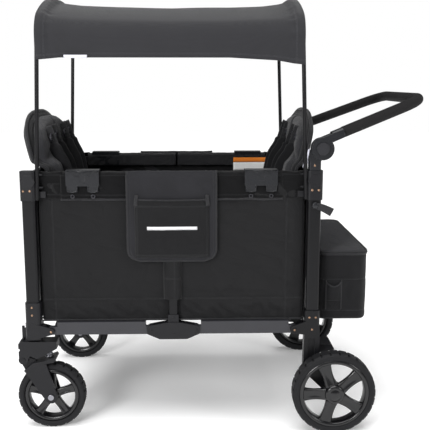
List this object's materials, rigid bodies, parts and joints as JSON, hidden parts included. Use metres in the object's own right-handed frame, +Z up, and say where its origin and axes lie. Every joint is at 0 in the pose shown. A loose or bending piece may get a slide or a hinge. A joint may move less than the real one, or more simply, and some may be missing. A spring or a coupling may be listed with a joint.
{
  "type": "kids pull wagon",
  "caption": "Folding children's wagon with facing seats, fabric tub, fixed canopy, swivel front casters, tilting push handle and rear basket.",
  "frame": {"origin": "middle of the whole object's footprint, on the ground", "axes": "+X towards the rear basket and push handle, +Y across the wagon, +Z up"},
  "size_m": [1.1354, 0.709, 1.1967],
  "materials": {
    "frame_tube": "satin powder coat",
    "link_rail": "satin powder coat",
    "moulding": "fine moulded texture",
    "clip_plastic": "satin moulding",
    "rim_plastic": "fine moulded texture",
    "button_plastic": "satin moulding",
    "rivet_metal": "copper-toned plating",
    "axle_steel": "plain bright steel",
    "tyre_foam": "matt foam rubber",
    "grip_foam": "matt closed foam",
    "tub_fabric": "coated woven cloth",
    "pocket_fabric": "coated woven cloth",
    "canopy_fabric": "fine woven cloth",
    "seat_fabric": "padded woven cloth",
    "floor_board": "fabric-covered board"
  },
  "bodies": {
    "front_frame": {"front_posts": "frame_tube", "front_top_brackets": "moulding", "front_foot_brackets": "moulding", "front_crossbars": "frame_tube", "front_fasteners": "rivet_metal", "canopy_front_arch": "frame_tube", "canopy_cover": "canopy_fabric", "tub_sides": "tub_fabric", "tub_front_end": "tub_fabric", "front_seat_base": "seat_fabric"},
    "front_seat": {"front_seat_back": "seat_fabric"},
    "lower_front_link": {"lower_front_rails": "link_rail", "floor_board_front": "floor_board"},
    "centre": {"centre_posts": "frame_tube", "hinge_plates": "moulding", "side_pockets": "pocket_fabric"},
    "lower_rear_link": {"lower_rear_rails": "link_rail", "floor_board_rear": "floor_board"},
    "rear_frame": {"rear_posts": "frame_tube", "rear_top_brackets": "moulding", "rear_legs": "moulding", "rear_crossbars": "frame_tube", "rear_axle": "axle_steel", "rear_fasteners": "rivet_metal", "handle_mounts": "moulding", "basket_body": "tub_fabric", "canopy_rear_arch": "frame_tube", "tub_rear_end": "tub_fabric", "rear_seat_base": "seat_fabric"},
    "rear_seat": {"rear_seat_back": "seat_fabric"},
    "upper_front_link": {"upper_front_rails": "link_rail", "front_rail_clips": "clip_plastic"},
    "upper_rear_link": {"upper_rear_rails": "link_rail", "rear_rail_clips": "clip_plastic"},
    "handle": {"handle_tube": "frame_tube", "handle_grip": "grip_foam", "handle_sockets": "moulding"},
    "button_left": {"handle_button_left": "button_plastic"},
    "button_right": {"handle_button_right": "button_plastic"},
    "lid": {"basket_lid": "tub_fabric"},
    "brake": {"brake_pedal": "button_plastic"},
    "hook": {"fold_hook": "pocket_fabric"},
    "swivel_left": {"caster_head_left": "moulding", "caster_spring_left": "rivet_metal"},
    "fork_left": {"caster_fork_left": "moulding", "front_axle_left": "rivet_metal"},
    "front_wheel_left": {"front_rim_left": "rim_plastic", "front_tyre_left": "tyre_foam"},
    "rear_wheel_left": {"rear_rim_left": "rim_plastic", "rear_tyre_left": "tyre_foam"},
    "lock_left": {"swivel_lock_left": "clip_plastic"},
    "swivel_right": {"caster_head_right": "moulding", "caster_spring_right": "rivet_metal"},
    "fork_right": {"caster_fork_right": "moulding", "front_axle_right": "rivet_metal"},
    "front_wheel_right": {"front_rim_right": "rim_plastic", "front_tyre_right": "tyre_foam"},
    "rear_wheel_right": {"rear_rim_right": "rim_plastic", "rear_tyre_right": "tyre_foam"},
    "lock_right": {"swivel_lock_right": "clip_plastic"}
  },
  "joints": [
    {"name": "fold", "type": "hinge", "parent": "front_frame", "child": "lower_front_link", "pos_m": [-0.46677, 0, 0.284], "axis": [0, -1, 0], "range_deg": [0, 65], "deforming": ["tub_sides", "canopy_cover", "front_seat_base", "rear_seat_base"]},
    {"name": "centre_hinge", "type": "hinge", "parent": "lower_front_link", "child": "centre", "pos_m": [-0.19377, 0, 0.284], "axis": [0, -1, 0], "range_deg": [-65, 0]},
    {"name": "lower_rear_hinge", "type": "hinge", "parent": "centre", "child": "lower_rear_link", "pos_m": [-0.06977, 0, 0.284], "axis": [0, -1, 0], "range_deg": [-65, 0]},
    {"name": "rear_frame_hinge", "type": "hinge", "parent": "lower_rear_link", "child": "rear_frame", "pos_m": [0.20323, 0, 0.284], "axis": [0, -1, 0], "range_deg": [0, 65]},
    {"name": "upper_front_hinge", "type": "hinge", "parent": "front_frame", "child": "upper_front_link", "pos_m": [-0.46677, 0, 0.7], "axis": [0, -1, 0], "range_deg": [0, 65]},
    {"name": "upper_rear_hinge", "type": "hinge", "parent": "centre", "child": "upper_rear_link", "pos_m": [-0.06977, 0, 0.7], "axis": [0, -1, 0], "range_deg": [-65, 0]},
    {"name": "handle_tilt", "type": "hinge", "parent": "rear_frame", "child": "handle", "pos_m": [0.26923, 0, 0.785], "axis": [0, -1, 0], "range_deg": [-50, 60]},
    {"name": "handle_button_left_press", "type": "slide", "parent": "handle", "child": "button_left", "axis": [0, 1, 0], "range_m": [0, 0.003], "stiffness_N_per_m": 400, "springref_m": -0.001},
    {"name": "handle_button_right_press", "type": "slide", "parent": "handle", "child": "button_right", "axis": [0, -1, 0], "range_m": [0, 0.003], "stiffness_N_per_m": 400, "springref_m": -0.001},
    {"name": "front_seat_recline", "type": "hinge", "parent": "front_frame", "child": "front_seat", "pos_m": [-0.42777, 0, 0.56], "axis": [0, 1, 0], "range_deg": [0, 25]},
    {"name": "rear_seat_recline", "type": "hinge", "parent": "rear_frame", "child": "rear_seat", "pos_m": [0.16423, 0, 0.56], "axis": [0, -1, 0], "range_deg": [0, 25]},
    {"name": "basket_lid_hinge", "type": "hinge", "parent": "rear_frame", "child": "lid", "pos_m": [0.27173, 0, 0.486], "axis": [0, -1, 0], "range_deg": [0, 80]},
    {"name": "brake_pedal_tilt", "type": "hinge", "parent": "rear_frame", "child": "brake", "pos_m": [0.26773, 0, 0.222], "axis": [0, 1, 0], "range_deg": [0, 18]},
    {"name": "fold_hook_swing", "type": "hinge", "parent": "rear_frame", "child": "hook", "pos_m": [0.25173, -0.299, 0.633], "axis": [0, 1, 0], "range_deg": [-25, 60]},
    {"name": "front_swivel_left", "type": "hinge", "parent": "front_frame", "child": "swivel_left", "pos_m": [-0.51677, -0.2725, 0.253], "axis": [0, 0, 1], "continuous": true},
    {"name": "front_suspension_left", "type": "hinge", "parent": "swivel_left", "child": "fork_left", "pos_m": [-0.54777, -0.2725, 0.201], "axis": [0, -1, 0], "range_deg": [0, 5], "stiffness_Nm_per_rad": 150, "springref_deg": -4.58, "deforming": ["caster_spring_left"]},
    {"name": "front_wheel_left_spin", "type": "hinge", "parent": "fork_left", "child": "front_wheel_left", "pos_m": [-0.47427, -0.2725, 0.0935], "axis": [0, 1, 0], "continuous": true},
    {"name": "rear_wheel_left_spin", "type": "hinge", "parent": "rear_frame", "child": "rear_wheel_left", "pos_m": [0.31023, -0.3275, 0.1145], "axis": [0, 1, 0], "continuous": true},
    {"name": "swivel_lock_left_slide", "type": "slide", "parent": "swivel_left", "child": "lock_left", "axis": [0, 0, 1], "range_m": [0, 0.007]},
    {"name": "front_swivel_right", "type": "hinge", "parent": "front_frame", "child": "swivel_right", "pos_m": [-0.51677, 0.2725, 0.253], "axis": [0, 0, 1], "continuous": true},
    {"name": "front_suspension_right", "type": "hinge", "parent": "swivel_right", "child": "fork_right", "pos_m": [-0.54777, 0.2725, 0.201], "axis": [0, -1, 0], "range_deg": [0, 5], "stiffness_Nm_per_rad": 150, "springref_deg": -4.58, "deforming": ["caster_spring_right"]},
    {"name": "front_wheel_right_spin", "type": "hinge", "parent": "fork_right", "child": "front_wheel_right", "pos_m": [-0.47427, 0.2725, 0.0935], "axis": [0, 1, 0], "continuous": true},
    {"name": "rear_wheel_right_spin", "type": "hinge", "parent": "rear_frame", "child": "rear_wheel_right", "pos_m": [0.31023, 0.3275, 0.1145], "axis": [0, 1, 0], "continuous": true},
    {"name": "swivel_lock_right_slide", "type": "slide", "parent": "swivel_right", "child": "lock_right", "axis": [0, 0, 1], "range_m": [0, 0.007]}
  ],
  "couplings": [
    {"joint": "centre_hinge", "follows": "fold", "ratio": -1},
    {"joint": "lower_rear_hinge", "follows": "fold", "ratio": -1},
    {"joint": "rear_frame_hinge", "follows": "fold", "ratio": 1},
    {"joint": "upper_front_hinge", "follows": "fold", "ratio": 1},
    {"joint": "upper_rear_hinge", "follows": "fold", "ratio": -1}
  ]
}
